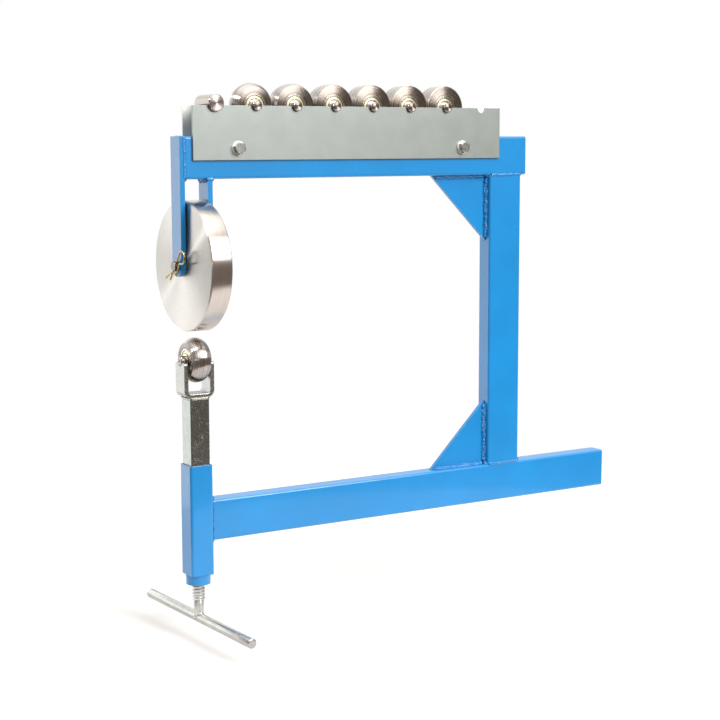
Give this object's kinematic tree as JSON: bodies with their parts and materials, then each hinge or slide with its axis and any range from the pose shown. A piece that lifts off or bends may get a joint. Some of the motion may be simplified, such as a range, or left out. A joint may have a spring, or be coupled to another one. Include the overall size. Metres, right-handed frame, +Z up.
{
  "type": "vise mounted english wheel",
  "caption": "Welded C-frame sheet metal wheeling machine for a bench vise, with a screw-raised crowned anvil under a flat wheel and a rack of spare anvils.",
  "frame": {"origin": "on the bottom face of the lower rail, midway along the stretch that the vise jaws grip, on the middle plane", "axes": "+X back along the throat away from the wheels, +Y across the frame, +Z up; the wheel and the lower anvil turn about X, the spare anvils about Y"},
  "size_m": [0.6494, 0.2602, 0.65],
  "materials": {
    "blue_paint": "gloss",
    "zinc_plate": "satin zinc plating",
    "zinc_fasteners": "bright zinc plating",
    "yellow_zinc": "yellow zinc plating",
    "turned_steel": "face turned",
    "bearing_steel": "ground",
    "chrome_plate": "plated",
    "bright_plate": "bright plated",
    "axle_steel": "turned",
    "ground_steel": "ground and polished"
  },
  "bodies": {
    "frame": {"lower_rail": "blue_paint", "lower_rail_cap": "blue_paint", "rear_post": "blue_paint", "upper_rail": "blue_paint", "upper_rail_cap": "blue_paint", "upper_gusset": "blue_paint", "lower_gusset": "blue_paint", "ram_sleeve": "blue_paint", "screw_nut": "blue_paint", "fork_front_leg": "blue_paint", "fork_rear_leg": "blue_paint", "rack_front_plate": "zinc_plate", "rack_back_plate": "zinc_plate", "rack_bolts": "zinc_fasteners", "rack_washers": "zinc_fasteners", "rack_nuts": "zinc_fasteners", "wheel_pin": "axle_steel", "hairpin_clip": "yellow_zinc", "wheel_washers": "zinc_fasteners", "upper_wheel_inner_races": "bearing_steel"},
    "upper_wheel": {"upper_wheel": "turned_steel", "upper_wheel_outer_races": "bearing_steel"},
    "ram": {"ram_tube": "chrome_plate", "ram_thrust_plug": "chrome_plate", "anvil_yoke": "chrome_plate", "lower_anvil_axle": "axle_steel", "lower_anvil_inner_races": "bearing_steel"},
    "screw": {"jack_screw": "bright_plate", "handle_bar": "bright_plate"},
    "lower_anvil": {"lower_anvil": "ground_steel", "lower_anvil_outer_races": "bearing_steel"},
    "plain_roller": {"plain_roller": "ground_steel"},
    "spare_anvil_1_axle": {"spare_anvil_1_axle": "axle_steel", "spare_anvil_1_inner_races": "bearing_steel"},
    "spare_anvil_1": {"spare_anvil_1": "ground_steel", "spare_anvil_1_outer_races": "bearing_steel"},
    "spare_anvil_2_axle": {"spare_anvil_2_axle": "axle_steel", "spare_anvil_2_inner_races": "bearing_steel"},
    "spare_anvil_2": {"spare_anvil_2": "ground_steel", "spare_anvil_2_outer_races": "bearing_steel"},
    "spare_anvil_3_axle": {"spare_anvil_3_axle": "axle_steel", "spare_anvil_3_inner_races": "bearing_steel"},
    "spare_anvil_3": {"spare_anvil_3": "ground_steel", "spare_anvil_3_outer_races": "bearing_steel"},
    "spare_anvil_4_axle": {"spare_anvil_4_axle": "axle_steel", "spare_anvil_4_inner_races": "bearing_steel"},
    "spare_anvil_4": {"spare_anvil_4": "ground_steel", "spare_anvil_4_outer_races": "bearing_steel"},
    "spare_anvil_5_axle": {"spare_anvil_5_axle": "axle_steel", "spare_anvil_5_inner_races": "bearing_steel"},
    "spare_anvil_5": {"spare_anvil_5": "ground_steel", "spare_anvil_5_outer_races": "bearing_steel"},
    "spare_anvil_6_axle": {"spare_anvil_6_axle": "axle_steel", "spare_anvil_6_inner_races": "bearing_steel"},
    "spare_anvil_6": {"spare_anvil_6": "ground_steel", "spare_anvil_6_outer_races": "bearing_steel"}
  },
  "joints": [
    {"name": "upper_wheel_spin", "type": "hinge", "parent": "frame", "child": "upper_wheel", "pos_m": [-0.26, 0, 0.3332], "axis": [1, 0, 0], "continuous": true},
    {"name": "ram_lift", "type": "slide", "parent": "frame", "child": "ram", "axis": [0, 0, 1], "range_m": [-0.02, 0.008]},
    {"name": "screw_turn", "type": "hinge", "parent": "ram", "child": "screw", "pos_m": [-0.26, 0, -0.05], "axis": [0, 0, 1], "range_deg": [-1800, 720]},
    {"name": "lower_anvil_spin", "type": "hinge", "parent": "ram", "child": "lower_anvil", "pos_m": [-0.26, 0, 0.2204], "axis": [1, 0, 0], "continuous": true},
    {"name": "roller_lift", "type": "slide", "parent": "frame", "child": "plain_roller", "axis": [0, 0, 1], "range_m": [0, 0.06]},
    {"name": "spare_anvil_1_lift", "type": "slide", "parent": "frame", "child": "spare_anvil_1_axle", "axis": [0, 0, 1], "range_m": [0, 0.06]},
    {"name": "spare_anvil_1_spin", "type": "hinge", "parent": "spare_anvil_1_axle", "child": "spare_anvil_1", "pos_m": [-0.181, 0, 0.521], "axis": [0, 1, 0], "continuous": true},
    {"name": "spare_anvil_2_lift", "type": "slide", "parent": "frame", "child": "spare_anvil_2_axle", "axis": [0, 0, 1], "range_m": [0, 0.06]},
    {"name": "spare_anvil_2_spin", "type": "hinge", "parent": "spare_anvil_2_axle", "child": "spare_anvil_2", "pos_m": [-0.1262, 0, 0.521], "axis": [0, 1, 0], "continuous": true},
    {"name": "spare_anvil_3_lift", "type": "slide", "parent": "frame", "child": "spare_anvil_3_axle", "axis": [0, 0, 1], "range_m": [0, 0.06]},
    {"name": "spare_anvil_3_spin", "type": "hinge", "parent": "spare_anvil_3_axle", "child": "spare_anvil_3", "pos_m": [-0.0714, 0, 0.521], "axis": [0, 1, 0], "continuous": true},
    {"name": "spare_anvil_4_lift", "type": "slide", "parent": "frame", "child": "spare_anvil_4_axle", "axis": [0, 0, 1], "range_m": [0, 0.06]},
    {"name": "spare_anvil_4_spin", "type": "hinge", "parent": "spare_anvil_4_axle", "child": "spare_anvil_4", "pos_m": [-0.0166, 0, 0.521], "axis": [0, 1, 0], "continuous": true},
    {"name": "spare_anvil_5_lift", "type": "slide", "parent": "frame", "child": "spare_anvil_5_axle", "axis": [0, 0, 1], "range_m": [0, 0.06]},
    {"name": "spare_anvil_5_spin", "type": "hinge", "parent": "spare_anvil_5_axle", "child": "spare_anvil_5", "pos_m": [0.0382, 0, 0.521], "axis": [0, 1, 0], "continuous": true},
    {"name": "spare_anvil_6_lift", "type": "slide", "parent": "frame", "child": "spare_anvil_6_axle", "axis": [0, 0, 1], "range_m": [0, 0.06]},
    {"name": "spare_anvil_6_spin", "type": "hinge", "parent": "spare_anvil_6_axle", "child": "spare_anvil_6", "pos_m": [0.093, 0, 0.521], "axis": [0, 1, 0], "continuous": true}
  ],
  "couplings": [
    {"joint": "screw_turn", "follows": "ram_lift", "rad_per_m": 1570.8}
  ]
}
